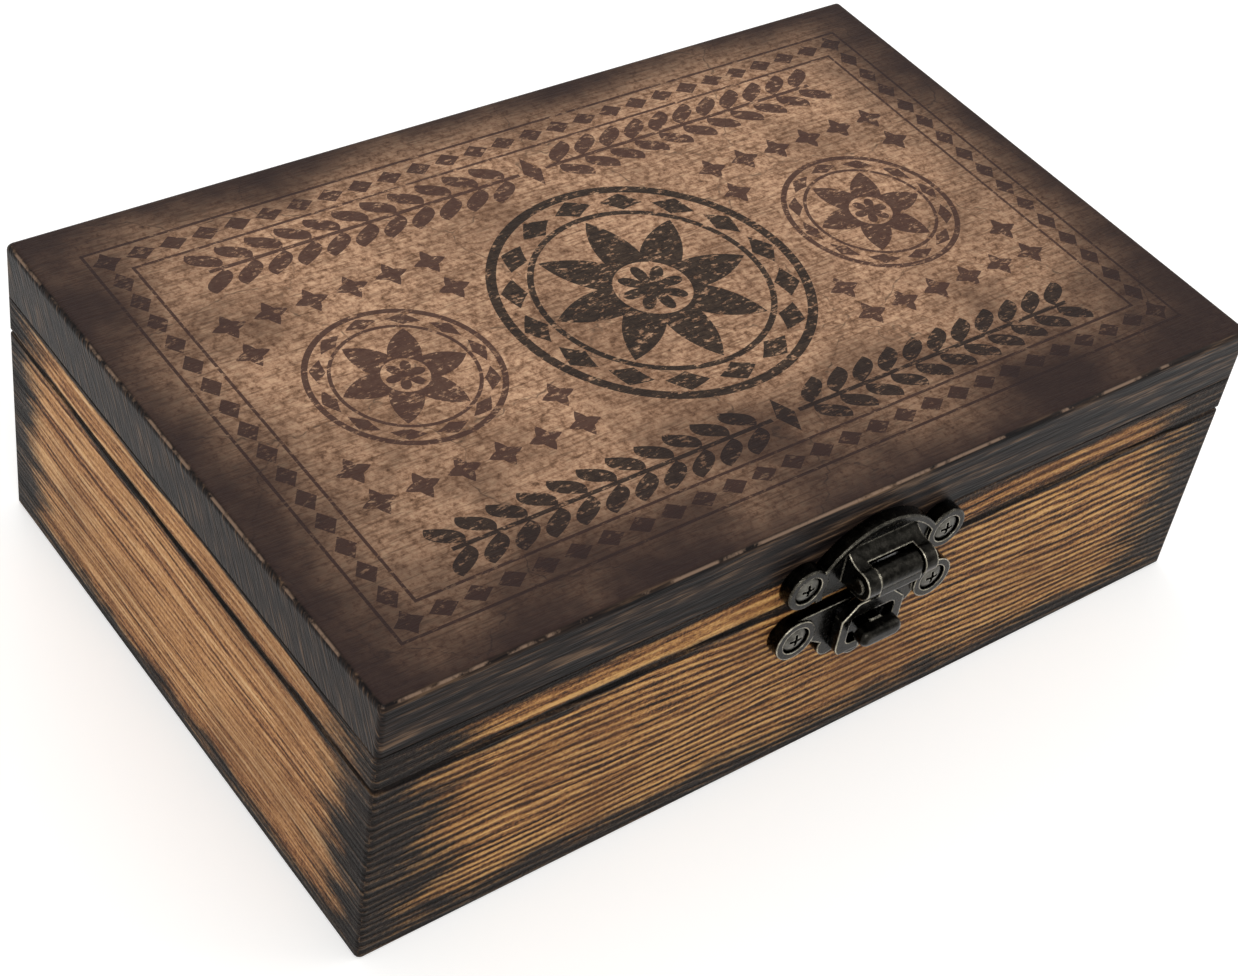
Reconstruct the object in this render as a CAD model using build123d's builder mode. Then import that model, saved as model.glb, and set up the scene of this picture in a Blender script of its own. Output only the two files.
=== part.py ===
"""Keepsake box: mitred wooden base and lid, two butt hinges, and a two-plate latch with a hasp.

Millimetres. X runs along the front, Y from front to back, Z up. The origin is the centre of the
base's underside. The latch faces -Y and the hinges face +Y.
"""
import os
from build123d import *

# Wooden case
box_width = 180.0
box_depth = 116.0
base_height = 40.0
wall_thickness = 8.0
bottom_thickness = 4.0
bottom_rabbet = 4.0          # how far the bottom panel is let into the walls
bottom_clearance = 0.15      # glue gap round the bottom panel
lid_board_thickness = 11.0
lid_rail_height = 7.5
lid_rail_width = 8.0
corner_radius = 1.0          # upright corners of base and lid
lid_top_ease = 1.3           # worn upper edge of the lid board
seam_ease = 0.65             # each side of the V along the seam
foot_ease = 0.5
glue_line_ease = 0.2

# Latch castings. Heights are from the seam, and reaches are outwards from the front face.
latch_offset = 3.4           # the latch sits this far right of the middle
ear_spacing = 29.8
ear_radius = 4.0
ear_thickness = 2.6
screw_seat_depth = 1.2       # counterbore that takes the screw head
plate_thickness = 2.0
plate_edge_round = 0.3
upper_plate_foot = 0.9       # lower edge of the upper plate, above the seam
arch_inset = 2.3             # the arch's sides stop this far short of the ears' middles
arch_shoulder = 6.2
arch_top = 13.4
arch_rim_width = 1.3
hood_width = 14.8
hood_root_low = 3.0
hood_root_high = 9.9
hood_sweep_reach = 3.3       # a point halfway along the hood's hollow upper sweep
hood_sweep_height = 8.7
hood_back = 3.4              # reach of the hood's solid back, behind the hasp
hood_web_reach = 4.4         # reach of the web between the knuckles, above the hasp's barrel
knuckle_radius = 2.6
lower_plate_head = 2.6       # upper edge of the lower plate, below the seam
lower_plate_half_width = 10.5
lower_plate_waist = 9.6
lower_plate_side_lobe = 12.4
lower_plate_tip = 17.6
side_lobe_radius = 2.3
side_lobe_spacing = 12.4
tip_radius = 2.6

# Hasp on its pin
pin_reach = 6.0
pin_height = 5.6
pin_radius = 0.8
pin_head_radius = 1.5
pin_head_height = 0.5
pin_head_round = 0.3
pin_clearance = 0.06
barrel_radius = 2.2
barrel_length = 9.0
barrel_end_gap = 0.3
barrel_swing_gap = 0.35
hasp_back = 2.4              # reach of the hasp's back where it lies over the lower plate
hasp_thickness = 1.9
hasp_arm_back = 5.2
hasp_arm_low = 3.4
hasp_bend_low = -2.4
arm_taper_half_width = 3.35   # halfway from the barrel to the neck
arm_taper_height = 1.2
neck_half_width = 2.4
neck_height = -1.0
shoulder_half_width = 4.55    # halfway from the neck to the ring's side
shoulder_height = -3.2
ring_shoulder = -5.2
ring_half_width = 6.7
ring_low = -13.8
ring_corner_radius = 2.6
hasp_bend_round = 0.8        # every bend and end in the hasp's side outline

# Turn button in the hasp's window
button_drop = 8.2            # button's axis below the seam
button_length = 8.8
button_width = 3.4
button_thickness = 2.6
button_lift = 0.9            # gap between the hasp and the cross bar
button_round = 1.1
window_end_gap = 0.4
stem_width = 2.4
stem_height = 3.8
stem_turn_gap = 1.25         # gap above and below the stem while it turns
stem_side_gap = 0.3          # gap each side of the stem in the hasp's open slot
stem_seat_gap = 0.1
spigot_radius = 1.1
spigot_clearance = 0.06
rivet_radius = 1.8
rivet_thickness = 0.5
rivet_gap = 0.15

# Butt hinges on the back
hinge_inset = 36.0           # from each end of the box to its hinge's middle
hinge_width = 22.0
hinge_leaf_reach = 8.4
hinge_leaf_thickness = 0.9
hinge_leaf_corner = 0.8
hinge_barrel_radius = 1.9
hinge_barrel_gap = 0.3       # between the barrel and the back of the box
hinge_pin_radius = 0.8
hinge_pin_clearance = 0.05
hinge_outer_knuckle = 6.5
hinge_knuckle_gap = 0.15
hinge_swing_gap = 0.35
hinge_screw_spacing = 13.0
hinge_screw_height = 5.4

# Screws
latch_screw_head_radius = 2.35
latch_screw_head_edge = 0.8
latch_screw_head_height = 1.25
latch_screw_dome_rise = 1.14     # head's height halfway out from its middle
latch_screw_radius = 1.1
latch_screw_bite = 6.0       # length in the wood
hinge_screw_head_radius = 1.7
hinge_screw_radius = 0.9
hinge_screw_bite = 5.6
hinge_screw_head_angle = 90.0
screw_point = 1.6
screw_hole_clearance = 0.05
head_seat_clearance = 0.35   # dark gap between a latch screw's head and its counterbore
cross_length = 2.6
cross_width = 0.6
cross_depth = 0.7
small_cross_length = 1.9
small_cross_width = 0.4
small_cross_depth = 0.45

# Worked out from the sizes above
half_width = box_width / 2
half_depth = box_depth / 2
rail_top = base_height + lid_rail_height
button_back = hasp_back + hasp_thickness + button_lift
ear_x = ear_spacing / 2
arch_half_width = ear_x - arch_inset
upper_ear_height = upper_plate_foot + ear_radius
lower_ear_height = -lower_plate_head - ear_radius
window_height = stem_height + 2 * stem_turn_gap
slot_width = stem_width + 2 * stem_side_gap
hinge_x = half_width - hinge_inset
hinge_axis_reach = hinge_barrel_gap + hinge_barrel_radius
centre_knuckle = hinge_width - 2 * hinge_outer_knuckle - 2 * hinge_knuckle_gap

# Working planes: local x along the box, local y up from the seam, local z outwards
front = Plane(origin=(latch_offset, -half_depth, base_height), x_dir=(1, 0, 0), z_dir=(0, -1, 0))
upper_ears = [(-ear_x, upper_ear_height), (ear_x, upper_ear_height)]
lower_ears = [(-ear_x, lower_ear_height), (ear_x, lower_ear_height)]
# Side view of the latch: local x outwards, local y up from the seam
latch_side = Plane(origin=front.origin, x_dir=(0, -1, 0), z_dir=(-1, 0, 0))


def back_plane(centre):
    """Plane on the back face at a hinge's middle, at seam height."""
    return Plane(origin=(centre, half_depth, base_height), x_dir=(-1, 0, 0), z_dir=(0, 1, 0))


def finish(part, name):
    """Label a finished piece and write it."""
    part.label = name
    export_step(part, f"parts/{name}.step")


os.makedirs("parts", exist_ok=True)
hinge_centres = {"left": -hinge_x, "right": hinge_x}
upper_hinge_holes = [(x, hinge_screw_height) for x in (-hinge_screw_spacing / 2, hinge_screw_spacing / 2)]
lower_hinge_holes = [(x, -hinge_screw_height) for x in (-hinge_screw_spacing / 2, hinge_screw_spacing / 2)]

# Base frame in one piece, before it is cut into its four mitred walls
with BuildPart() as base_frame:
    with BuildSketch():
        Rectangle(box_width, box_depth)
    extrude(amount=base_height)
    fillet(base_frame.edges().filter_by(Axis.Z), corner_radius)
    chamfer(base_frame.faces().sort_by(Axis.Z)[-1].edges(), seam_ease)
    chamfer(base_frame.faces().sort_by(Axis.Z)[0].edges(), foot_ease)
    with BuildSketch():
        Rectangle(box_width - 2 * wall_thickness, box_depth - 2 * wall_thickness)
    extrude(amount=base_height, mode=Mode.SUBTRACT)
    with BuildSketch():
        panel_margin = wall_thickness - bottom_rabbet
        Rectangle(box_width - 2 * panel_margin, box_depth - 2 * panel_margin)
    extrude(amount=bottom_thickness, mode=Mode.SUBTRACT)
    with BuildSketch(front):
        with Locations(*lower_ears):
            Circle(latch_screw_radius)
    extrude(amount=-latch_screw_bite, mode=Mode.SUBTRACT)
    for centre in hinge_centres.values():
        with BuildSketch(back_plane(centre)):
            with Locations(*lower_hinge_holes):
                Circle(hinge_screw_radius)
        extrude(amount=-hinge_screw_bite, mode=Mode.SUBTRACT)

# Lid frame in one piece, before it is cut into its four mitred rails
with BuildPart() as lid_frame:
    with BuildSketch(Plane.XY.offset(base_height)):
        Rectangle(box_width, box_depth)
    extrude(amount=lid_rail_height)
    fillet(lid_frame.edges().filter_by(Axis.Z), corner_radius)
    chamfer(lid_frame.faces().sort_by(Axis.Z)[-1].edges(), glue_line_ease)
    chamfer(lid_frame.faces().sort_by(Axis.Z)[0].edges(), seam_ease)
    with BuildSketch(Plane.XY.offset(base_height)):
        Rectangle(box_width - 2 * lid_rail_width, box_depth - 2 * lid_rail_width)
    extrude(amount=lid_rail_height, mode=Mode.SUBTRACT)
    with BuildSketch(front):
        with Locations(*upper_ears):
            Circle(latch_screw_radius)
    extrude(amount=-latch_screw_bite, mode=Mode.SUBTRACT)
    for centre in hinge_centres.values():
        with BuildSketch(back_plane(centre)):
            with Locations(*upper_hinge_holes):
                Circle(hinge_screw_radius)
        extrude(amount=-hinge_screw_bite, mode=Mode.SUBTRACT)

# Walls and rails: each is the wedge of its frame between two mitres
corner_signs = [(-1, -1), (1, -1), (1, 1), (-1, 1)]
for index, side in enumerate(("front", "right", "back", "left")):
    this_corner = corner_signs[index]
    next_corner = corner_signs[(index + 1) % 4]
    for kind, frame, low, height, board in (
        (f"base_{side}_wall", base_frame, 0, base_height, wall_thickness),
        (f"lid_{side}_rail", lid_frame, base_height, lid_rail_height, lid_rail_width),
    ):
        inner_width = half_width - board
        inner_depth = half_depth - board
        with BuildPart() as mitred_board:
            with BuildSketch(Plane.XY.offset(low)):
                with BuildLine():
                    Polyline(
                        (this_corner[0] * half_width, this_corner[1] * half_depth),
                        (next_corner[0] * half_width, next_corner[1] * half_depth),
                        (next_corner[0] * inner_width, next_corner[1] * inner_depth),
                        (this_corner[0] * inner_width, this_corner[1] * inner_depth),
                        close=True,
                    )
                make_face()
            extrude(amount=height)
            add(frame.part, mode=Mode.INTERSECT)
        finish(mitred_board.part, kind)

# Bottom panel, glued into the rabbets and flush with the walls' lower edges
with BuildPart() as base_bottom_panel:
    with BuildSketch():
        panel_inset = wall_thickness - bottom_rabbet + bottom_clearance
        Rectangle(box_width - 2 * panel_inset, box_depth - 2 * panel_inset)
    extrude(amount=bottom_thickness)
finish(base_bottom_panel.part, "base_bottom_panel")

# Lid board, glued on the rails
with BuildPart() as lid_top_board:
    with BuildSketch(Plane.XY.offset(rail_top)):
        Rectangle(box_width, box_depth)
    extrude(amount=lid_board_thickness)
    fillet(lid_top_board.edges().filter_by(Axis.Z), corner_radius)
    fillet(lid_top_board.faces().sort_by(Axis.Z)[-1].edges(), lid_top_ease)
    chamfer(lid_top_board.faces().sort_by(Axis.Z)[0].edges(), glue_line_ease)
finish(lid_top_board.part, "lid_top_board")

# Upper latch plate: two eared feet, an arch with a raised rim, and the hood that holds the pin
with BuildPart() as latch_upper_plate:
    with BuildSketch(front):
        with BuildLine():
            Polyline(
                (-arch_half_width, arch_shoulder),
                (-arch_half_width, upper_plate_foot),
                (arch_half_width, upper_plate_foot),
                (arch_half_width, arch_shoulder),
            )
            ThreePointArc(
                (-arch_half_width, arch_shoulder), (0, arch_top), (arch_half_width, arch_shoulder)
            )
        make_face()
        with Locations(*upper_ears):
            Circle(ear_radius)
    extrude(amount=ear_thickness)
    fillet(latch_upper_plate.faces().sort_by(Axis.Y)[0].edges(), plate_edge_round)
    with BuildSketch(front.offset(plate_thickness)):
        with BuildLine():
            Polyline(
                (arch_rim_width - arch_half_width, arch_shoulder),
                (arch_rim_width - arch_half_width, upper_plate_foot - plate_edge_round),
                (arch_half_width - arch_rim_width, upper_plate_foot - plate_edge_round),
                (arch_half_width - arch_rim_width, arch_shoulder),
            )
            ThreePointArc(
                (arch_rim_width - arch_half_width, arch_shoulder),
                (0, arch_top - arch_rim_width),
                (arch_half_width - arch_rim_width, arch_shoulder),
            )
        make_face()
        with Locations(*upper_ears):
            Circle(ear_radius, mode=Mode.SUBTRACT)
    extrude(amount=ear_thickness, mode=Mode.SUBTRACT)
    with Locations(front.offset(ear_thickness)):
        with Locations(*upper_ears):
            CounterBoreHole(
                latch_screw_radius + screw_hole_clearance,
                latch_screw_head_radius + head_seat_clearance,
                screw_seat_depth,
            )
    # Hood: a hollow sweep out to the two knuckles that hold the pin
    with BuildSketch(latch_side):
        with BuildLine():
            ThreePointArc(
                (plate_thickness, hood_root_high),
                (hood_sweep_reach, hood_sweep_height),
                (pin_reach, pin_height + knuckle_radius),
            )
            Polyline(
                (pin_reach, pin_height + knuckle_radius),
                (pin_reach, pin_height - knuckle_radius),
                (plate_thickness, hood_root_low),
                (plate_edge_round, hood_root_low),
                (plate_edge_round, hood_root_high),
                (plate_thickness, hood_root_high),
            )
        make_face()
        with Locations((pin_reach, pin_height)):
            Circle(knuckle_radius)
    extrude(amount=hood_width / 2, both=True)
    # Room for the hasp's barrel and for its swing
    with BuildSketch(latch_side):
        with Locations((pin_reach, pin_height)):
            Circle(barrel_radius + barrel_swing_gap)
    extrude(amount=barrel_length / 2 + barrel_end_gap, both=True, mode=Mode.SUBTRACT)
    with BuildSketch(latch_side):
        with BuildLine():
            Polyline(
                (hood_web_reach, arch_top),
                (pin_reach + arch_top, arch_top),
                (pin_reach + arch_top, -arch_top),
                (hood_back, -arch_top),
                (hood_back, pin_height),
                (hood_web_reach, pin_height),
                close=True,
            )
        make_face()
    extrude(amount=barrel_length / 2 + barrel_end_gap, both=True, mode=Mode.SUBTRACT)
    with BuildSketch(latch_side):
        with Locations((pin_reach, pin_height)):
            Circle(pin_radius)
    extrude(amount=hood_width, both=True, mode=Mode.SUBTRACT)
finish(latch_upper_plate.part, "latch_upper_plate")

# Hasp pin, pressed through the hood's knuckles and riveted over at both ends
with BuildPart() as latch_hasp_pin:
    with BuildSketch(latch_side.offset(hood_width / 2), latch_side.offset(-hood_width / 2 - pin_head_height)):
        with Locations((pin_reach, pin_height)):
            Circle(pin_head_radius)
    extrude(amount=pin_head_height)
    fillet(latch_hasp_pin.faces().sort_by(Axis.X)[0].edges(), pin_head_round)
    fillet(latch_hasp_pin.faces().sort_by(Axis.X)[-1].edges(), pin_head_round)
    with BuildSketch(latch_side):
        with Locations((pin_reach, pin_height)):
            Circle(pin_radius)
    extrude(amount=hood_width / 2, both=True)
finish(latch_hasp_pin.part, "latch_hasp_pin")

# Hasp: front outline and side outline cut each other, then the barrel, window and slot
window_width = button_length + 2 * window_end_gap
with BuildPart() as latch_hasp:
    with BuildSketch(front):
        with BuildLine():
            Line((0, pin_height), (barrel_length / 2, pin_height))
            Line((barrel_length / 2, pin_height), (barrel_length / 2, hasp_arm_low))
            ThreePointArc(
                (barrel_length / 2, hasp_arm_low),
                (arm_taper_half_width, arm_taper_height),
                (neck_half_width, neck_height),
            )
            ThreePointArc(
                (neck_half_width, neck_height),
                (shoulder_half_width, shoulder_height),
                (ring_half_width, ring_shoulder),
            )
            Line((ring_half_width, ring_shoulder), (ring_half_width, ring_low + ring_corner_radius))
            ring_corner = RadiusArc(
                (ring_half_width, ring_low + ring_corner_radius),
                (ring_half_width - ring_corner_radius, ring_low),
                ring_corner_radius,
            )
            Line(ring_corner @ 1, (0, ring_low))
            mirror(about=Plane.YZ)
        make_face()
    extrude(amount=pin_reach + barrel_radius)
    with BuildSketch(latch_side):
        with BuildLine():
            FilletPolyline(
                (hasp_arm_back, pin_height),
                (pin_reach + barrel_radius, pin_height),
                (pin_reach + barrel_radius, hasp_arm_low),
                (hasp_back + hasp_thickness, hasp_bend_low),
                (hasp_back + hasp_thickness, ring_low),
                (hasp_back, ring_low),
                (hasp_back, hasp_bend_low),
                (hasp_arm_back, hasp_arm_low - hasp_thickness),
                radius=hasp_bend_round,
                close=True,
            )
        make_face()
    extrude(amount=barrel_length + ring_half_width, both=True, mode=Mode.INTERSECT)
    with BuildSketch(latch_side):
        with Locations((pin_reach, pin_height)):
            Circle(barrel_radius)
    extrude(amount=barrel_length / 2, both=True)
    with BuildSketch(front):
        with Locations((0, -button_drop)):
            RectangleRounded(window_width, window_height, ring_corner_radius / 2)
        with Locations((0, ring_low)):
            Rectangle(slot_width, 2 * (-button_drop - ring_low))
    extrude(amount=pin_reach, mode=Mode.SUBTRACT)
    with BuildSketch(latch_side):
        with Locations((pin_reach, pin_height)):
            Circle(pin_radius + pin_clearance)
    extrude(amount=barrel_length, both=True, mode=Mode.SUBTRACT)
finish(latch_hasp.part, "latch_hasp")

# Lower latch plate: two ears, a straight head, side lobes and a tip
with BuildPart() as latch_lower_plate:
    with BuildSketch(front):
        with BuildLine():
            Polyline(
                (-ear_x, -lower_plate_head),
                (ear_x, -lower_plate_head),
                (lower_plate_half_width, -lower_plate_waist),
                (side_lobe_spacing / 2, -lower_plate_side_lobe),
                (0, -lower_plate_tip),
                (-side_lobe_spacing / 2, -lower_plate_side_lobe),
                (-lower_plate_half_width, -lower_plate_waist),
                close=True,
            )
        make_face()
        with Locations(*lower_ears):
            Circle(ear_radius)
        with Locations(
            (-side_lobe_spacing / 2, -lower_plate_side_lobe), (side_lobe_spacing / 2, -lower_plate_side_lobe)
        ):
            Circle(side_lobe_radius)
        with Locations((0, tip_radius - lower_plate_tip)):
            Circle(tip_radius)
    extrude(amount=plate_thickness)
    with BuildSketch(front):
        with Locations(*lower_ears):
            Circle(ear_radius)
    extrude(amount=ear_thickness)
    with Locations(front.offset(ear_thickness)):
        with Locations(*lower_ears):
            CounterBoreHole(
                latch_screw_radius + screw_hole_clearance,
                latch_screw_head_radius + head_seat_clearance,
                screw_seat_depth,
            )
    with BuildSketch(front):
        with Locations((0, -button_drop)):
            Circle(spigot_radius + spigot_clearance)
    extrude(amount=plate_thickness, mode=Mode.SUBTRACT)
    with BuildSketch(front):
        with Locations((0, -button_drop)):
            Circle(rivet_radius + rivet_gap)
    extrude(amount=rivet_thickness + 2 * rivet_gap, mode=Mode.SUBTRACT)
finish(latch_lower_plate.part, "latch_lower_plate")

# Turn button: cross bar, flat stem, spigot through the lower plate, riveted over behind it
with BuildPart() as latch_turn_button:
    with BuildSketch(front.offset(button_back)):
        with Locations((0, -button_drop)):
            SlotOverall(button_length, button_width)
    extrude(amount=button_thickness)
    fillet(latch_turn_button.faces().sort_by(Axis.Y)[0].edges(), button_round)
    with BuildSketch(front.offset(plate_thickness + stem_seat_gap)):
        with Locations((0, -button_drop)):
            Rectangle(stem_width, stem_height)
    extrude(amount=button_back - plate_thickness - stem_seat_gap)
    with BuildSketch(front.offset(rivet_gap)):
        with Locations((0, -button_drop)):
            Circle(spigot_radius)
    extrude(amount=plate_thickness + stem_seat_gap - rivet_gap)
    with BuildSketch(front.offset(rivet_gap)):
        with Locations((0, -button_drop)):
            Circle(rivet_radius)
    extrude(amount=rivet_thickness)
finish(latch_turn_button.part, "latch_turn_button")

# Latch screw with a low domed head. Its local origin is under the head, and z points outwards.
latch_screw_neck = ear_thickness - screw_seat_depth
with BuildPart() as latch_screw:
    with BuildSketch(Plane.XZ):
        with BuildLine():
            Polyline(
                (0, latch_screw_head_height),
                (0, -latch_screw_neck - latch_screw_bite),
                (latch_screw_radius, screw_point - latch_screw_neck - latch_screw_bite),
                (latch_screw_radius, 0),
                (latch_screw_head_radius, 0),
                (latch_screw_head_radius, latch_screw_head_edge),
            )
            ThreePointArc(
                (latch_screw_head_radius, latch_screw_head_edge),
                (latch_screw_head_radius / 2, latch_screw_dome_rise),
                (0, latch_screw_head_height),
            )
        make_face()
    revolve(axis=Axis.Z)
    with BuildSketch(Plane.XY.offset(latch_screw_head_height)):
        Rectangle(cross_length, cross_width)
        Rectangle(cross_width, cross_length)
    extrude(amount=-cross_depth, mode=Mode.SUBTRACT)

# Hinge screw with a countersunk head. Its local origin is on the head's face.
with BuildPart() as hinge_screw:
    hinge_head_depth = hinge_screw_head_radius - hinge_screw_radius
    hinge_screw_length = hinge_leaf_thickness + hinge_screw_bite
    with BuildSketch(Plane.XZ):
        with BuildLine():
            Polyline(
                (0, 0),
                (0, -hinge_screw_length),
                (hinge_screw_radius, screw_point - hinge_screw_length),
                (hinge_screw_radius, -hinge_head_depth),
                (hinge_screw_head_radius, 0),
                close=True,
            )
        make_face()
    revolve(axis=Axis.Z)
    with BuildSketch():
        Rectangle(small_cross_length, small_cross_width)
        Rectangle(small_cross_width, small_cross_length)
    extrude(amount=-small_cross_depth, mode=Mode.SUBTRACT)

# Latch screws in their seats
for name, ears in (("latch_upper_screws", upper_ears), ("latch_lower_screws", lower_ears)):
    with BuildPart() as screws:
        with Locations(front.offset(latch_screw_neck)):
            with Locations(*ears):
                add(latch_screw.part)
    finish(screws.part, name)

# Hinge screws in their countersinks
for name, holes in (("hinge_base_screws", lower_hinge_holes), ("hinge_lid_screws", upper_hinge_holes)):
    with BuildPart() as screws:
        for centre in hinge_centres.values():
            with Locations(back_plane(centre).offset(hinge_leaf_thickness)):
                with Locations(*holes):
                    add(hinge_screw.part)
    finish(screws.part, name)

# Hinges: the base leaf has the two outer knuckles, the lid leaf has the middle one
leaf_edge = hinge_barrel_radius + hinge_swing_gap
for side, centre in hinge_centres.items():
    back = back_plane(centre)
    knuckle_plane = Plane(origin=back.origin, x_dir=(0, 1, 0), z_dir=(1, 0, 0))
    outer_x = (hinge_width - hinge_outer_knuckle) / 2
    for kind, up, knuckles, knuckle_length, holes in (
        ("base", -1, (-outer_x, outer_x), hinge_outer_knuckle, lower_hinge_holes),
        ("lid", 1, (0,), centre_knuckle, upper_hinge_holes),
    ):
        with BuildPart() as leaf:
            with BuildSketch(back):
                with Locations((0, up * (leaf_edge + hinge_leaf_reach) / 2)):
                    RectangleRounded(hinge_width, hinge_leaf_reach - leaf_edge, hinge_leaf_corner)
                for x in knuckles:
                    with Locations((x, up * hinge_leaf_reach / 4)):
                        Rectangle(knuckle_length, hinge_leaf_reach / 2)
            extrude(amount=hinge_leaf_thickness)
            for x in knuckles:
                with BuildSketch(knuckle_plane.offset(x)):
                    with Locations((hinge_axis_reach, 0)):
                        Circle(hinge_barrel_radius)
                extrude(amount=knuckle_length / 2, both=True)
            with BuildSketch(knuckle_plane):
                with Locations((hinge_axis_reach, 0)):
                    Circle(hinge_pin_radius + (hinge_pin_clearance if kind == "lid" else 0))
            extrude(amount=hinge_width, both=True, mode=Mode.SUBTRACT)
            with Locations(back.offset(hinge_leaf_thickness)):
                with Locations(*holes):
                    CounterSinkHole(
                        hinge_screw_radius + screw_hole_clearance,
                        hinge_screw_head_radius + screw_hole_clearance,
                        counter_sink_angle=hinge_screw_head_angle,
                    )
        finish(leaf.part, f"hinge_{side}_{kind}_leaf")
    with BuildPart() as hinge_pin:
        with BuildSketch(knuckle_plane):
            with Locations((hinge_axis_reach, 0)):
                Circle(hinge_pin_radius)
        extrude(amount=hinge_width / 2, both=True)
    finish(hinge_pin.part, f"hinge_{side}_pin")
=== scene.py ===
import math

import bmesh
import bpy
from mathutils import Matrix, Vector


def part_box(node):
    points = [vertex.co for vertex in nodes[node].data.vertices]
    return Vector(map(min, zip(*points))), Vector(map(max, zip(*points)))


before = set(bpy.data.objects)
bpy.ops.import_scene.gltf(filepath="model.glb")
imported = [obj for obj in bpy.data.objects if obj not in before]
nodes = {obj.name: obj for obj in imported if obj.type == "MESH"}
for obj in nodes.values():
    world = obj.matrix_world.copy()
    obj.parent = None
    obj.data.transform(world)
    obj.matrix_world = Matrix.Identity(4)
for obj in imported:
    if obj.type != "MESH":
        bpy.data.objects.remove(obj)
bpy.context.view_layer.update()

# Sizes of the case, in millimetres
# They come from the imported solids, so that the patterns fit the boards.
case_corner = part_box("lid_top_board")[1]
half_x = 1000 * case_corner.x
half_y = 1000 * case_corner.y
seam_height = 1000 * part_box("base_front_wall")[1].z
rail_top = 1000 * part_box("lid_front_rail")[1].z

# Camera
# A normal lens above the box's front left corner, with the small roll and shift of the
# photograph's framing.
camera_place = Vector((-0.22144, -0.23917, 0.31270))
camera_right = Vector((0.78643, -0.59894, 0.15098))
camera_up = Vector((0.31851, 0.60266, 0.73168))
camera_data = bpy.data.cameras.new("camera")
camera_data.sensor_fit = "HORIZONTAL"
camera_data.sensor_width = 36.0
camera_data.lens = 70.46
camera_data.shift_x = -0.0630
camera_data.shift_y = -0.0259
camera_data.clip_start = 0.01
camera = bpy.data.objects.new("camera", camera_data)
turn = Matrix((camera_right, camera_up, camera_right.cross(camera_up))).transposed()
camera.matrix_world = Matrix.Translation(camera_place) @ turn.to_4x4()
bpy.context.scene.collection.objects.link(camera)
bpy.context.scene.camera = camera
bpy.context.scene.view_settings.view_transform = "Standard"


def add(tree, kind, inputs=(), stops=None, **settings):
    """Add a shader node with its settings. Inputs are values, sockets or nodes, in a list by
    place or in a dict by name. Stops are a colour ramp's places and colours."""
    new = tree.nodes.new("ShaderNode" + kind)
    for key, value in settings.items():
        setattr(new, key, value)
    if stops:
        while len(new.color_ramp.elements) < len(stops):
            new.color_ramp.elements.new(1.0)
        for element, (place, colour) in zip(new.color_ramp.elements, stops):
            element.position = place
            element.color = colour
    for key, value in inputs.items() if isinstance(inputs, dict) else enumerate(inputs):
        if isinstance(key, str):
            key = next(i for i, s in enumerate(new.inputs) if s.enabled and s.name == key)
        if isinstance(value, bpy.types.Node):
            value = next(s for s in value.outputs if s.enabled)
        if isinstance(value, bpy.types.NodeSocket):
            tree.links.new(value, new.inputs[key])
        elif value is not None:
            new.inputs[key].default_value = value
    return new


def linear(colour):
    """Linear red, green, blue and alpha of an sRGB hex colour."""
    channels = [int(colour[i:i + 2], 16) / 255 for i in (1, 3, 5)]
    return [c / 12.92 if c <= 0.04045 else ((c + 0.055) / 1.055) ** 2.4 for c in channels] + [1.0]


def new_material(name):
    """An empty material: its node tree, its Principled shader and its Object coordinates in
    millimetres, as a vector and as three separate sockets."""
    material = bpy.data.materials.new(name)
    material.use_nodes = True
    tree = material.node_tree
    shader = tree.nodes["Principled BSDF"]
    place = add(tree, "TexCoord").outputs["Object"]
    millimetres = add(tree, "VectorMath", [place, (1000.0, 1000.0, 1000.0)], operation="MULTIPLY")
    split = add(tree, "SeparateXYZ", [millimetres])
    return material, tree, shader, millimetres, split.outputs


def give(material, *names):
    """Put a material on CAD nodes."""
    for name in names:
        mesh = nodes[name].data
        mesh.materials.clear()
        mesh.materials.append(material)


# Floor, white studio background and lamps
# A white table under a large soft tent of light, with one wide lamp above the front left
# and weaker ones from the right and from behind.
floor_size = 4.0
floor_colour = "#F4F3F1"
floor_lift = 0.31     # brings the lit table up to the white of the background
tent_level = 0.62     # light of the tent, which looks white itself
floor_mesh = bpy.data.meshes.new("studio_floor")
floor_shape = bmesh.new()
bmesh.ops.create_grid(floor_shape, x_segments=1, y_segments=1, size=floor_size / 2)
floor_shape.to_mesh(floor_mesh)
floor_shape.free()
floor = bpy.data.objects.new("studio_floor", floor_mesh)
bpy.context.scene.collection.objects.link(floor)

floor_material, tree, shader, place, axes = new_material("matt_white_table")
shader.inputs["Base Color"].default_value = linear(floor_colour)
shader.inputs["Roughness"].default_value = 0.9
shader.inputs["Specular IOR Level"].default_value = 0.1
rays = add(tree, "LightPath").outputs
seen = add(tree, "Math", [rays["Is Camera Ray"], rays["Is Glossy Ray"]], operation="MAXIMUM")
seen = add(tree, "Math", [seen, rays["Is Transmission Ray"]], operation="MAXIMUM")
lift = add(tree, "Math", [seen, floor_lift], operation="MULTIPLY")
shader.inputs["Emission Color"].default_value = (1.0, 1.0, 1.0, 1.0)
tree.links.new(lift.outputs[0], shader.inputs["Emission Strength"])
floor_mesh.materials.append(floor_material)

world = bpy.data.worlds.new("studio_tent")
world.use_nodes = True
bpy.context.scene.world = world
tree = world.node_tree
rays = add(tree, "LightPath").outputs
seen = add(tree, "Math", [rays["Is Camera Ray"], rays["Is Glossy Ray"]], operation="MAXIMUM")
seen = add(tree, "Math", [seen, rays["Is Transmission Ray"]], operation="MAXIMUM")
level = add(tree, "MapRange", {"Value": seen, "To Min": tent_level, "To Max": 1.0})
tree.nodes["Background"].inputs["Color"].default_value = (1.0, 1.0, 1.0, 1.0)
tree.links.new(level.outputs[0], tree.nodes["Background"].inputs["Strength"])

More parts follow.
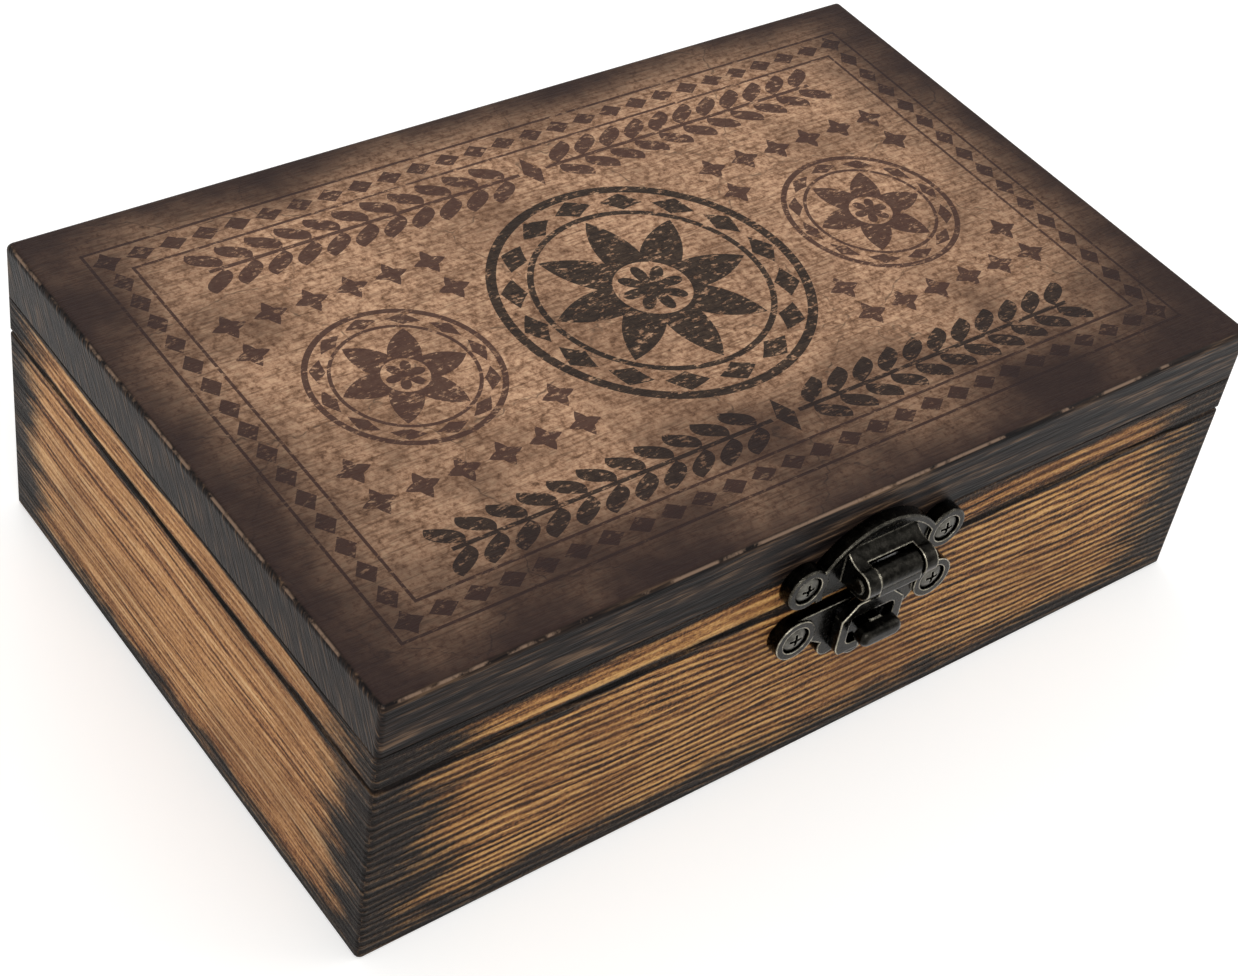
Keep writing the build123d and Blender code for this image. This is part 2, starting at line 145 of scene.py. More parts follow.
for name, spot, size, watts in (
    ("key_lamp", (-0.75, -0.95, 1.15), 0.9, 9.0),
    ("fill_lamp", (1.05, -0.55, 0.75), 0.8, 3.0),
    ("back_lamp", (0.25, 1.1, 0.95), 0.8, 3.5),
):
    lamp_data = bpy.data.lights.new(name, "AREA")
    lamp_data.shape = "DISK"
    lamp_data.size = size
    lamp_data.energy = watts
    lamp = bpy.data.objects.new(name, lamp_data)
    lamp.matrix_world = (Matrix.Translation(spot)
                         @ Vector(spot).to_track_quat("Z", "Y").to_matrix().to_4x4())
    bpy.context.scene.collection.objects.link(lamp)


# Base walls
# Four mitred pine boards, glued at the corners. Each is torch-burnt along its ends and foot,
# then wire-brushed, so that the hard rings stand proud and soot stays in the soft ones between.
def burnt_pine(name, along_x, low, high, burns, pitch, evenness, tilt, palette, seed):
    """Brushed and burnt softwood with its grain along X or Y. The burns reach that far in
    millimetres from the ends, the lower edge and the upper edge. Pitch is the rings' spacing,
    evenness how alike they are, and the palette runs from the grooves' soot to pale ridges."""
    material, tree, shader, place, axes = new_material(name)
    length, depth = (axes[0], axes[1]) if along_x else (axes[1], axes[0])
    half_length, half_depth = (half_x, half_y) if along_x else (half_y, half_x)
    height = axes[2]
    skin_depth = add(tree, "Math", [half_depth, add(tree, "Math", [depth], operation="ABSOLUTE")],
                     operation="SUBTRACT")
    skin = add(tree, "MapRange", {"Value": skin_depth, "From Min": 0.7, "From Max": 2.2,
                                  "To Min": 1.0, "To Max": 0.0}, interpolation_type="SMOOTHSTEP")

    def stretched(run, run_size, rise, rise_size, shift):
        """Place for a noise whose grains are that long and that high in millimetres."""
        return add(tree, "CombineXYZ", [add(tree, "Math", [run, run_size], operation="DIVIDE"),
                                        add(tree, "Math", [rise, rise_size], operation="DIVIDE"),
                                        shift])

    # Growth rings that drift up and down along the board and vary in spacing
    ring_height = add(tree, "Math", [length, tilt, height], operation="MULTIPLY_ADD")
    ring_height = add(tree, "Math", [depth, 0.35, ring_height], operation="MULTIPLY_ADD")
    drift_place = stretched(length, 75.0, height, 22.0, seed)
    drift = add(tree, "TexNoise", {"Vector": drift_place, "Scale": 1.0, "Detail": 1.5})
    ring_height = add(tree, "Math", [drift, 7.0, ring_height], operation="MULTIPLY_ADD")
    ripple_place = stretched(length, 9.0, height, 2.2, seed + 3.0)
    ripple = add(tree, "TexNoise", {"Vector": ripple_place, "Scale": 1.0, "Detail": 2.0})
    phase = add(tree, "Math", [ring_height, 2 * math.pi / pitch], operation="MULTIPLY")
    phase = add(tree, "Math", [ripple, 4.2, phase], operation="MULTIPLY_ADD")
    rings = add(tree, "Math", [phase], operation="SINE")
    rings = add(tree, "Math", [rings, 0.5, 0.5], operation="MULTIPLY_ADD")

    # Fibres torn by the wire brush, and its short cross scratches
    fibre_depth = add(tree, "Math", [depth, 0.8], operation="DIVIDE")
    fibre_place = stretched(length, 7.0, ring_height, 0.42, fibre_depth)
    fibres = add(tree, "TexNoise", {"Vector": fibre_place, "Scale": 1.0, "Detail": 3.0,
                                    "Roughness": 0.65})
    grit_place = add(tree, "CombineXYZ", [length, height, depth])
    grit = add(tree, "TexNoise", {"Vector": grit_place, "Scale": 1.5, "Detail": 2.0,
                                  "Roughness": 0.7})
    years_place = stretched(length, 95.0, ring_height, 1.9, seed + 5.0)
    years = add(tree, "TexNoise", {"Vector": years_place, "Scale": 1.0, "Detail": 2.0})

    # Height of the brushed face, from 0 in the grooves to 1 on the ridges
    layers = ((fibres, 1.3), (rings, 0.62 * evenness), (years, 1.9 * (1.15 - evenness)),
              (grit, 0.75))
    relief = 0.5 - sum(weight for layer, weight in layers) / 2
    for layer, weight in layers:
        relief = add(tree, "Math", [layer, weight, relief], operation="MULTIPLY_ADD")

    # Where the torch has been, with a streaky edge that follows the fibres
    from_end = add(tree, "Math", [half_length, add(tree, "Math", [length], operation="ABSOLUTE")],
                   operation="SUBTRACT")
    from_foot = add(tree, "Math", [height, low], operation="SUBTRACT")
    from_top = add(tree, "Math", [high, height], operation="SUBTRACT")
    heat = None
    for distance, reach in zip((from_end, from_foot, from_top), burns):
        falloff = add(tree, "MapRange", {"Value": distance, "From Min": 0.0, "From Max": reach,
                                         "To Min": 1.0, "To Max": 0.0})
        heat = add(tree, "Math", [heat, falloff], operation="MAXIMUM") if heat else falloff
    flame_place = stretched(length, 16.0, height, 5.0, seed + 7.0)
    flame = add(tree, "TexNoise", {"Vector": flame_place, "Scale": 1.0, "Detail": 4.0,
                                   "Roughness": 0.6})
    heat = add(tree, "Math", [flame, 1.1, heat], operation="MULTIPLY_ADD")
    heat = add(tree, "Math", [relief, -0.22, heat], operation="MULTIPLY_ADD")
    burn = add(tree, "MapRange", {"Value": heat, "From Min": 0.72, "From Max": 1.22},
               interpolation_type="SMOOTHSTEP")
    burn = add(tree, "Math", [burn, skin], operation="MULTIPLY")

    # Colours of the brushed wood, of the bare wood inside, and of the char
    soot, groove, flank, ridge, crest = (linear(colour) for colour in palette)
    wood = add(tree, "ValToRGB", [relief], stops=[
        (0.08, soot), (0.28, groove), (0.46, flank), (0.66, ridge), (0.90, crest)])
    scorched = add(tree, "TexNoise", {"Vector": place, "Scale": 0.05, "Detail": 3.0})
    scorched = add(tree, "MapRange", {"Value": scorched, "From Min": 0.45, "From Max": 0.70,
                                      "To Max": 0.42})
    wood = add(tree, "Mix", {"Factor": scorched, "A": wood, "B": linear("#6E4527")},
               data_type="RGBA")
    raw = add(tree, "ValToRGB", [rings], stops=[
        (0.0, linear("#BE9160")), (0.5, linear("#D9B381")), (1.0, linear("#E4C697"))])
    wood = add(tree, "Mix", {"Factor": skin, "A": raw, "B": wood}, data_type="RGBA")
    char = add(tree, "ValToRGB", [relief], stops=[
        (0.10, linear("#090706")), (0.40, linear("#17110E")), (0.66, linear("#281E18")),
        (0.95, linear("#584431"))])
    colour = add(tree, "Mix", {"Factor": burn, "A": wood, "B": char}, data_type="RGBA")

    # Pale rubbed line and chips along the upright corner edges
    corner = add(tree, "Math", [from_end, skin_depth], operation="MAXIMUM")
    chips = add(tree, "TexNoise", {"Vector": place, "Scale": 0.6, "Detail": 3.0, "Roughness": 0.7})
    chips = add(tree, "Math", [corner, -0.5, chips], operation="MULTIPLY_ADD")
    chips = add(tree, "MapRange", {"Value": chips, "From Min": 0.40, "From Max": 0.50,
                                   "To Max": 0.55})
    colour = add(tree, "Mix", {"Factor": chips, "A": colour, "B": linear("#8D6F55")},
                 data_type="RGBA")
    tree.links.new(colour.outputs[2], shader.inputs["Base Color"])

    # Brushed relief, under a thin wax
    bump = add(tree, "Bump", {"Strength": 1.0, "Distance": 0.00055, "Height": relief})
    tree.links.new(bump.outputs[0], shader.inputs["Normal"])
    gloss = add(tree, "MapRange", {"Value": relief, "To Min": 0.62, "To Max": 0.42})
    tree.links.new(gloss.outputs[0], shader.inputs["Roughness"])
    shader.inputs["Specular IOR Level"].default_value = 0.1
    return material


# Painted light: the side boards' colours are painted lighter, as light falling from the left, and
# the front and back boards' darker, as soot in the grooves and painted shade.
sooty_shaded_pine_colours = ("#150E0B", "#40281A", "#7F5432", "#B07F4A", "#D8A868")
lit_side_pine_colours = ("#46291B", "#855636", "#B48050", "#D09C68", "#E9BD88")
front_pine = burnt_pine("brushed_burnt_pine_long", True, 0.0, seam_height, (30.0, 13.0, 3.0),
                        1.65, 0.9, 0.045, sooty_shaded_pine_colours, 3.1)
side_pine = burnt_pine("brushed_burnt_pine_short", False, 0.0, seam_height, (24.0, 10.0, 3.0),
                       1.25, 0.45, -0.01, lit_side_pine_colours, 11.7)
give(front_pine, "base_front_wall", "base_back_wall")
give(side_pine, "base_left_wall", "base_right_wall")

# Lid rails
# Four mitred pine strips under the lid board, burnt at their ends and along both edges.
front_rail_pine = burnt_pine("burnt_pine_rail_long", True, seam_height, rail_top,
                             (34.0, 2.6, 3.4), 1.9, 0.5, 0.02, sooty_shaded_pine_colours, 5.3)
side_rail_pine = burnt_pine("burnt_pine_rail_short", False, seam_height, rail_top,
                            (26.0, 2.0, 2.0), 1.3, 0.45, -0.01, lit_side_pine_colours, 8.9)
give(front_rail_pine, "lid_front_rail", "lid_back_rail")
give(side_rail_pine, "lid_left_rail", "lid_right_rail")

# Bottom panel
# A sheet of sanded poplar plywood let into the walls, left bare.
plywood, tree, shader, place, axes = new_material("sanded_poplar_plywood")
grain_place = add(tree, "VectorMath", [place, (1 / 30.0, 1 / 1.6, 1 / 0.8)], operation="MULTIPLY")
grain = add(tree, "TexNoise", {"Vector": grain_place, "Scale": 1.0, "Detail": 3.0})
sheet_colour = add(tree, "ValToRGB", [grain], stops=[
    (0.3, linear("#B48C5E")), (0.5, linear("#CDA876")), (0.7, linear("#DBBB8C"))])
tree.links.new(sheet_colour.outputs[0], shader.inputs["Base Color"])
sanding = add(tree, "Bump", {"Strength": 0.5, "Distance": 0.0002, "Height": grain})
tree.links.new(sanding.outputs[0], shader.inputs["Normal"])
shader.inputs["Roughness"].default_value = 0.7
give(plywood, "base_bottom_panel")


# Lid board
# A solid board with a matt parchment-brown print on its face: a traditional ornament of
# rosettes, laurel and lozenges in two worn inks. Its edges are burnt black and waxed.
def between(tree, value, low, high):
    """Mask of the places where a value lies between two limits."""
    above = add(tree, "Math", [value, low], operation="GREATER_THAN")
    below = add(tree, "Math", [value, high], operation="LESS_THAN")
    return add(tree, "Math", [above, below], operation="MULTIPLY")


def leaf(tree, across, along, half_width, half_length):
    """Mask of a pointed leaf, from distances across and along it in millimetres."""
    taper = add(tree, "Math", [along, half_length], operation="DIVIDE")
    taper = add(tree, "Math", [taper, 2.0], operation="POWER")
    width = add(tree, "Math", [across, half_width], operation="DIVIDE")
    return add(tree, "Math", [add(tree, "Math", [taper, width], operation="ADD"), 1.0],
               operation="LESS_THAN")


def rosette(tree, x, y, radius, points):
    """Mask of a round ornament: a rim, a ring of lozenges, a star and a flower in it."""
    around = add(tree, "Math", [y, x], operation="ARCTAN2")
    flat = add(tree, "CombineXYZ", [x, y])
    out = add(tree, "VectorMath", [flat], operation="LENGTH").outputs["Value"]
    share = add(tree, "Math", [out, radius], operation="DIVIDE")
    rim = add(tree, "Math", [share, 0.97, 0.032], operation="COMPARE")
    inner_rim = add(tree, "Math", [share, 0.735, 0.02], operation="COMPARE")
    # Lozenges, two to each point of the star
    step = math.pi / (2 * points)
    turn = add(tree, "Math", [around, step], operation="PINGPONG")
    across = add(tree, "Math", [turn, 0.82 * step], operation="DIVIDE")
    along = add(tree, "Math", [share, 0.846], operation="SUBTRACT")
    along = add(tree, "Math", [add(tree, "Math", [along], operation="ABSOLUTE"), 0.082],
                operation="DIVIDE")
    ring = add(tree, "Math", [add(tree, "Math", [across, along], operation="ADD"), 1.0],
               operation="LESS_THAN")
    # Star between two rings, and the petals at its heart
    turn = add(tree, "Math", [around, math.pi / points], operation="PINGPONG")
    spike = add(tree, "Math", [turn, -0.36 * points / math.pi, 0.70], operation="MULTIPLY_ADD")
    star = add(tree, "Math", [share, spike], operation="LESS_THAN")
    hollow = add(tree, "Math", [share, 0.245], operation="GREATER_THAN")
    star = add(tree, "Math", [star, hollow], operation="MULTIPLY")
    turn = add(tree, "Math", [turn, points / math.pi], operation="MULTIPLY")
    turn = add(tree, "Math", [turn, 2.0], operation="POWER")
    petal = add(tree, "Math", [turn, -0.13, 0.215], operation="MULTIPLY_ADD")
    flower = add(tree, "Math", [share, petal], operation="LESS_THAN")
    mask = rim
    for shape in (inner_rim, ring, star, flower):
        mask = add(tree, "Math", [mask, shape], operation="MAXIMUM")
    return mask


printed_board, tree, shader, place, axes = new_material("printed_and_waxed_lid_board")
x, y, z = axes[0], axes[1], axes[2]
side_x = add(tree, "Math", [x], operation="ABSOLUTE")
side_y = add(tree, "Math", [y], operation="ABSOLUTE")

# Large rosette in the middle, a smaller one on each side
middle_radius = 28.5
flank_radius = 16.5
flank_place = 49.5
middle = rosette(tree, x, y, middle_radius, 8)
flank_x = add(tree, "Math", [side_x, flank_place], operation="SUBTRACT")
flank = rosette(tree, flank_x, y, flank_radius, 6)

# Laurel bands above and below, each of two branches that part at a lozenge in the middle
laurel_place = 36.5
laurel_pitch = 5.6
laurel_leaves = 11
laurel_slant = 0.8
laurel_leaf_place = 2.9          # from the stem to the middle of a leaf
laurel_leaf_half_width = 2.3
laurel_leaf_half_length = 2.6
stem_half_width = 0.42
knot_half_width = 1.9
knot_shape = 0.45                # the lozenge's width as a share of its height
band_y = add(tree, "Math", [side_y, laurel_place], operation="SUBTRACT")
band_side = add(tree, "Math", [band_y], operation="ABSOLUTE")
slant = add(tree, "Math", [band_side, -laurel_slant, side_x], operation="MULTIPLY_ADD")
across = add(tree, "Math", [slant, laurel_pitch / 2], operation="PINGPONG")
along = add(tree, "Math", [band_side, laurel_leaf_place], operation="SUBTRACT")
laurel = leaf(tree, across, along, laurel_leaf_half_width, laurel_leaf_half_length)
branch = (laurel_pitch / 2, (laurel_leaves + 0.5) * laurel_pitch)
laurel = add(tree, "Math", [laurel, between(tree, slant, *branch)], operation="MULTIPLY")
stem = add(tree, "Math", [band_side, stem_half_width], operation="LESS_THAN")
stem = add(tree, "Math", [stem, between(tree, side_x, *branch)], operation="MULTIPLY")
laurel = add(tree, "Math", [laurel, stem], operation="MAXIMUM")
knot = add(tree, "Math", [band_side, knot_shape, side_x], operation="MULTIPLY_ADD")
knot = add(tree, "Math", [knot, knot_half_width], operation="LESS_THAN")
laurel = add(tree, "Math", [laurel, knot], operation="MAXIMUM")

# Small four-leaved flowers that fill the field, whole ones only
flower_pitch = 7.6
petal_half_width = 1.25
petal_half_length = 3.1
middle_clearance = 4.6           # from a rosette's rim to the nearest flower's middle
flank_clearance = 4.4
field_half_width = 70.0
field_half_depth = 27.0
cell_x = add(tree, "Math", [x, flower_pitch / 2], operation="PINGPONG")
cell_y = add(tree, "Math", [y, flower_pitch / 2], operation="PINGPONG")
upright = leaf(tree, cell_x, cell_y, petal_half_width, petal_half_length)
lying = leaf(tree, cell_y, cell_x, petal_half_width, petal_half_length)
field = add(tree, "Math", [upright, lying], operation="MAXIMUM")
half_cell = (flower_pitch / 2, flower_pitch / 2, 0.0)
cell_middle = add(tree, "VectorMath", [place, half_cell], operation="ADD")
cell_middle = add(tree, "VectorMath", [cell_middle, (flower_pitch, flower_pitch, 1000.0)],
                  operation="SNAP")
cell_middle = add(tree, "VectorMath", [cell_middle], operation="ABSOLUTE")
from_middle = add(tree, "VectorMath", [cell_middle], operation="LENGTH").outputs["Value"]
from_flank = add(tree, "VectorMath", [cell_middle, (flank_place, 0.0, 0.0)],
                 operation="DISTANCE").outputs["Value"]
cell_side = add(tree, "SeparateXYZ", [cell_middle]).outputs
for value, limit, side in (
    (from_middle, middle_radius + middle_clearance, "GREATER_THAN"),
    (from_flank, flank_radius + flank_clearance, "GREATER_THAN"),
    (cell_side[0], field_half_width, "LESS_THAN"),
    (cell_side[1], field_half_depth, "LESS_THAN"),
):
    inside = add(tree, "Math", [value, limit], operation=side)
    field = add(tree, "Math", [field, inside], operation="MULTIPLY")

# Frame: two fine lines with a chain of lozenges between them, which meet at each corner
outer_line_place = 9.0           # from the board's edge
chain_line = 12.1
inner_line_place = 15.2
line_half_width = 0.28
lozenge_half_length = 2.6
lozenge_half_width = 1.9
edge_x = add(tree, "Math", [half_x, side_x], operation="SUBTRACT")
edge_y = add(tree, "Math", [half_y, side_y], operation="SUBTRACT")
edge = add(tree, "Math", [edge_x, edge_y], operation="MINIMUM")
outer_line = add(tree, "Math", [edge, outer_line_place, line_half_width], operation="COMPARE")
inner_line = add(tree, "Math", [edge, inner_line_place, line_half_width], operation="COMPARE")
chain = None
for run, side_run, inset, half, links in ((x, side_x, edge_y, half_x, 13),
                                          (y, side_y, edge_x, half_y, 8)):
    pitch = (half - chain_line) / links
    across = add(tree, "Math", [run, pitch / 2], operation="PINGPONG")
    across = add(tree, "Math", [across, lozenge_half_length], operation="DIVIDE")
    along = add(tree, "Math", [inset, chain_line], operation="SUBTRACT")
    along = add(tree, "Math", [add(tree, "Math", [along], operation="ABSOLUTE"),
                               lozenge_half_width], operation="DIVIDE")
    part = add(tree, "Math", [add(tree, "Math", [across, along], operation="ADD"), 1.0],
               operation="LESS_THAN")
    within = add(tree, "Math", [side_run, (links + 0.5) * pitch], operation="LESS_THAN")
    part = add(tree, "Math", [part, within], operation="MULTIPLY")
    chain = add(tree, "Math", [chain, part], operation="MAXIMUM") if chain else part
border = add(tree, "Math", [outer_line, inner_line], operation="MAXIMUM")
border = add(tree, "Math", [border, chain], operation="MAXIMUM")

# Parchment ground: mottled tan with short fibres along the board, darkened to its edges
cloud = add(tree, "TexNoise", {"Vector": place, "Scale": 0.035, "Detail": 5.0, "Roughness": 0.6})
speck = add(tree, "TexNoise", {"Vector": place, "Scale": 0.9, "Detail": 4.0, "Roughness": 0.7})
streak_place = add(tree, "VectorMath", [place, (1 / 4.5, 1 / 0.45, 1.0)], operation="MULTIPLY")
streaks = add(tree, "TexNoise", {"Vector": streak_place, "Scale": 1.0, "Detail": 3.0,
                                 "Roughness": 0.65})
ground = add(tree, "ValToRGB", [speck], stops=[
    (0.28, linear("#4F3829")), (0.40, linear("#8E6B52")), (0.52, linear("#BA9274")),
    (0.70, linear("#D9B28F"))])
ground = add(tree, "Mix", {"Factor": add(tree, "MapRange", {"Value": streaks, "From Min": 0.54,
                                                            "From Max": 0.34, "To Max": 0.62}),
                           "A": ground, "B": linear("#573D2C")}, data_type="RGBA")
ground = add(tree, "Mix", {"Factor": add(tree, "MapRange", {"Value": cloud, "From Min": 0.44,
                                                            "From Max": 0.66, "To Max": 0.52}),
                           "A": ground, "B": linear("#5A4030")}, data_type="RGBA")

# Fine cracks of the aged ground
crack_bend = add(tree, "VectorMath", [cloud.outputs["Color"], (26.0, 26.0, 0.0), place],
                 operation="MULTIPLY_ADD")
cracks = add(tree, "TexVoronoi", {"Vector": crack_bend, "Scale": 0.028}, feature="DISTANCE_TO_EDGE")
cracks = add(tree, "MapRange", {"Value": cracks, "From Min": 0.0, "From Max": 0.009,
                                "To Min": 0.75, "To Max": 0.0})
broken = add(tree, "MapRange", {"Value": speck, "From Min": 0.42, "From Max": 0.56})
cracks = add(tree, "Math", [cracks, broken], operation="MULTIPLY")
ground = add(tree, "Mix", {"Factor": cracks, "A": ground, "B": linear("#33261F")},
             data_type="RGBA")

# Two inks, worn through in specks
wear_place = add(tree, "VectorMath", [place, (1 / 1.7, 1 / 0.8, 1.0)], operation="MULTIPLY")
wear = add(tree, "TexNoise", {"Vector": wear_place, "Scale": 1.0, "Detail": 3.0, "Roughness": 0.7})
held = add(tree, "MapRange", {"Value": wear, "From Min": 0.34, "From Max": 0.44, "To Max": 0.92})
top_band = add(tree, "Math", [y, 0.0], operation="GREATER_THAN")
brown_laurel = add(tree, "Math", [laurel, top_band], operation="MULTIPLY")
black_laurel = add(tree, "Math", [laurel, brown_laurel], operation="SUBTRACT")
black = add(tree, "Math", [middle, black_laurel], operation="MAXIMUM")
brown = add(tree, "Math", [flank, brown_laurel], operation="MAXIMUM")
brown = add(tree, "Math", [brown, border], operation="MAXIMUM")
brown = add(tree, "Math", [brown, field], operation="MAXIMUM")
brown_held = add(tree, "Math", [brown, held], operation="MULTIPLY")
black_held = add(tree, "Math", [black, held], operation="MULTIPLY")
face = add(tree, "Mix", {"Factor": brown_held, "A": ground, "B": linear("#46302A")},
           data_type="RGBA")
face = add(tree, "Mix", {"Factor": black_held, "A": face, "B": linear("#1B1817")},
           data_type="RGBA")

# Dark vignette, wider at the corners and uneven
front_reach = add(tree, "MapRange", {"Value": y, "From Min": -20.0, "From Max": 30.0,
                                     "To Min": 38.0, "To Max": 18.0})
round_x = add(tree, "Math", [edge_x, 32.0], operation="DIVIDE")
round_y = add(tree, "Math", [edge_y, front_reach], operation="DIVIDE")
near = add(tree, "Math", [round_x, round_y, 1.3], operation="SMOOTH_MIN")
near = add(tree, "Math", [cloud, -1.1, near], operation="MULTIPLY_ADD")
near = add(tree, "Math", [speck, -0.35, near], operation="MULTIPLY_ADD")
vignette = add(tree, "MapRange", {"Value": near, "From Min": -0.78, "From Max": 0.30,
                                  "To Min": 0.97, "To Max": 0.0}, interpolation_type="SMOOTHSTEP")
face = add(tree, "Mix", {"Factor": vignette, "A": face, "B": linear("#281D1C")},
           data_type="RGBA")

# Burnt edges: end grain slants on the left and right, long grain runs at front and back
normal = add(tree, "SeparateXYZ", [add(tree, "TexCoord").outputs["Normal"]])
turned_up = add(tree, "MapRange", {"Value": normal.outputs[2], "From Min": 0.78, "From Max": 0.97},
                interpolation_type="SMOOTHSTEP")
band_place = add(tree, "VectorMath", [place, (1 / 16.0, 1 / 1.5, 1 / 1.1)], operation="MULTIPLY")
band_grain = add(tree, "TexNoise", {"Vector": band_place, "Scale": 1.0, "Detail": 3.5,
                                    "Roughness": 0.62})
end_rise = add(tree, "Math", [y, 0.55, z], operation="MULTIPLY_ADD")
end_run = add(tree, "Math", [z, -0.55, y], operation="MULTIPLY_ADD")
end_place = add(tree, "CombineXYZ", [add(tree, "Math", [end_run, 0.55], operation="DIVIDE"),
                                     add(tree, "Math", [end_rise, 9.0], operation="DIVIDE")])
end_grain = add(tree, "TexNoise", {"Vector": end_place, "Scale": 1.0, "Detail": 2.5,
                                   "Roughness": 0.6})
sideways = add(tree, "Math", [normal.outputs[0]], operation="ABSOLUTE")
sideways = add(tree, "MapRange", {"Value": sideways, "From Min": 0.6, "From Max": 0.85})
band_grain = add(tree, "Mix", {"Factor": sideways, "A": band_grain, "B": end_grain})
band = add(tree, "ValToRGB", [band_grain], stops=[
    (0.36, linear("#070505")), (0.47, linear("#15100F")), (0.57, linear("#2A201A")),
    (0.70, linear("#614C3A"))])
colour = add(tree, "Mix", {"Factor": turned_up, "A": band, "B": face}, data_type="RGBA")

# Bare sanded pine on the underside, which is the ceiling of the box
bare_place = add(tree, "VectorMath", [place, (1 / 70.0, 1 / 3.2, 1.0)], operation="MULTIPLY")
bare_grain = add(tree, "TexNoise", {"Vector": bare_place, "Scale": 1.0, "Detail": 3.0,
                                    "Distortion": 0.4})
bare = add(tree, "ValToRGB", [bare_grain], stops=[
    (0.32, linear("#B98B58")), (0.46, linear("#D5AE7B")), (0.66, linear("#E3C494"))])
turned_down = add(tree, "MapRange", {"Value": normal.outputs[2], "From Min": -0.85,
                                     "From Max": -0.97})
colour = add(tree, "Mix", {"Factor": turned_down, "A": colour, "B": bare}, data_type="RGBA")

# Wear along the eased upper edge
worn_low = add(tree, "MapRange", {"Value": normal.outputs[2], "From Min": 0.48, "From Max": 0.60})
worn_high = add(tree, "MapRange", {"Value": normal.outputs[2], "From Min": 0.74,
                                   "From Max": 0.86, "To Min": 1.0, "To Max": 0.0})
worn = add(tree, "Math", [worn_low, worn_high], operation="MULTIPLY")
rub = add(tree, "TexNoise", {"Vector": place, "Scale": 0.11, "Detail": 5.0, "Roughness": 0.7})
rub = add(tree, "MapRange", {"Value": rub, "From Min": 0.47, "From Max": 0.55, "To Max": 0.7})
worn = add(tree, "Math", [worn, rub], operation="MULTIPLY")
colour = add(tree, "Mix", {"Factor": worn, "A": colour, "B": linear("#8F7663")},
             data_type="RGBA")
tree.links.new(colour.outputs[2], shader.inputs["Base Color"])
gloss = add(tree, "MapRange", {"Value": turned_up, "To Min": 0.38, "To Max": 0.60})
tree.links.new(gloss.outputs[0], shader.inputs["Roughness"])
shader.inputs["Specular IOR Level"].default_value = 0.08
relief = add(tree, "Mix", {"Factor": turned_up, "A": band_grain, "B": streaks})
bump = add(tree, "Bump", {"Strength": 0.7, "Distance": 0.00035, "Height": relief})
tree.links.new(bump.outputs[0], shader.inputs["Normal"])
give(printed_board, "lid_top_board")


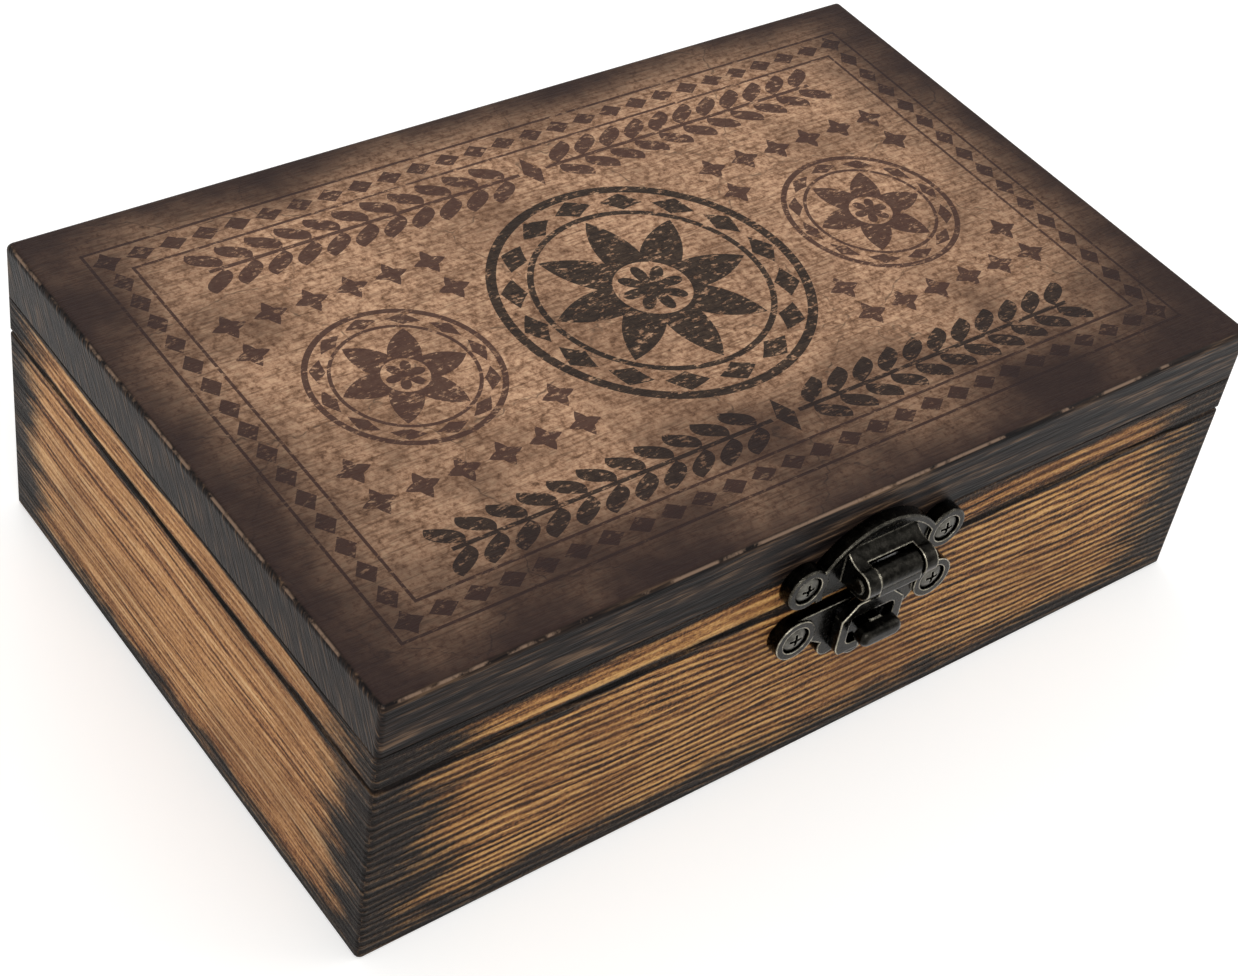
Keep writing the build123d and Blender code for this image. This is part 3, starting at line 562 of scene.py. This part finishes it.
# Latch castings
# Two plates, a hasp and a turn button, cast in zinc alloy and plated a dark antique bronze.
# Handling has rubbed raised edges bright, painted brighter as highlights; hollows hold black patina
# and painted shade.
def aged_metal(name, dark, mid, rubbed_edge_and_highlight_colour, blotches, rounding, roughness, grit):
    """Patinated metal. Colours are for its hollows, with black patina and painted shade, its faces,
    and its rubbed edges, which also carry painted highlights. Blotches are how deep the patina's
    spots go, from 0 to 1, and rounding and grit are in millimetres."""
    material, tree, shader, place, axes = new_material(name)
    geometry = add(tree, "NewGeometry")
    # Painted highlight: the rounded edges that the bevel normal finds are painted bright, as rubbed
    # wear and as highlights.
    rounded = add(tree, "Bevel", {"Radius": rounding / 1000}, samples=6)
    facing = add(tree, "VectorMath", [rounded, geometry.outputs["Normal"]], operation="DOT_PRODUCT")
    edge = add(tree, "MapRange", {"Value": facing.outputs["Value"], "From Min": 0.985,
                                  "From Max": 0.88})
    # Painted shade: ambient occlusion blends the hollows towards the dark colour, as black patina
    # and as shade.
    hollow_reach = 4.0
    hollow = add(tree, "AmbientOcclusion", {"Distance": hollow_reach / 1000}, samples=6)
    open_face = add(tree, "MapRange", {"Value": hollow.outputs["AO"], "From Min": 0.45,
                                       "From Max": 0.95})
    blotch = add(tree, "TexNoise", {"Vector": place, "Scale": 0.8, "Detail": 4.0,
                                    "Roughness": 0.65})
    edge = add(tree, "Math", [edge, open_face], operation="MULTIPLY")
    patchy = add(tree, "MapRange", {"Value": blotch, "From Min": 0.36, "From Max": 0.60,
                                    "To Min": 0.35})
    edge = add(tree, "Math", [edge, patchy], operation="MULTIPLY")
    face = add(tree, "Mix", {"Factor": add(tree, "MapRange", {"Value": blotch, "From Min": 0.38,
                                                              "From Max": 0.64,
                                                              "To Min": 1.0 - blotches}),
                             "A": linear(dark), "B": linear(mid)}, data_type="RGBA")
    face = add(tree, "Mix", {"Factor": open_face, "A": linear(dark), "B": face},
               data_type="RGBA")
    colour = add(tree, "Mix", {"Factor": edge, "A": face, "B": linear(rubbed_edge_and_highlight_colour)},
                 data_type="RGBA")
    tree.links.new(colour.outputs[2], shader.inputs["Base Color"])
    shader.inputs["Metallic"].default_value = 1.0
    gloss = add(tree, "MapRange", {"Value": blotch, "From Min": 0.3, "From Max": 0.7,
                                   "To Min": roughness - 0.08, "To Max": roughness + 0.12})
    tree.links.new(gloss.outputs[0], shader.inputs["Roughness"])
    sand = add(tree, "TexNoise", {"Vector": place, "Scale": 1 / grit, "Detail": 2.0})
    bump = add(tree, "Bump", {"Strength": 0.35, "Distance": 0.0001, "Height": sand,
                              "Normal": rounded})
    tree.links.new(bump.outputs[0], shader.inputs["Normal"])
    return material


# The last colour is for the rubbed edges and painted highlights, the first for patina and painted
# shade in the hollows.
antique_casting = aged_metal("antique_bronze_plated_casting", "#070706", "#2A2824", "#D9D1BC",
                             0.8, 0.45, 0.22, 0.35)
give(antique_casting, "latch_upper_plate", "latch_lower_plate", "latch_hasp", "latch_turn_button",
     "latch_hasp_pin")

# Latch screws
# Cross-headed wood screws in nickel-plated steel, tarnished grey, with their crosses darkened as
# painted shade.
tarnished_nickel = aged_metal("tarnished_nickel_screws", "#1C1B19", "#6B6962", "#C9C5B8",
                              0.6, 0.2, 0.3, 0.5)
give(tarnished_nickel, "latch_upper_screws", "latch_lower_screws")

# Hinges
# Two small butt hinges with pins through their rolled knuckles, stamped from steel strip and
# plated in antique brass. Each is held by four screws.
antique_brass = aged_metal("antique_brass_plated_steel", "#3A2A18", "#86683C", "#BFA26A",
                           0.35, 0.25, 0.34, 0.6)
give(antique_brass, "hinge_left_base_leaf", "hinge_left_lid_leaf", "hinge_left_pin",
     "hinge_right_base_leaf", "hinge_right_lid_leaf", "hinge_right_pin")

# Hinge screws
# Small countersunk cross-headed screws, plated in a brighter brass than the leaves.
brass_screws = aged_metal("brass_plated_screws", "#4A3820", "#AA8C57", "#D6BE88",
                          0.3, 0.2, 0.28, 0.5)
give(brass_screws, "hinge_base_screws", "hinge_lid_screws")
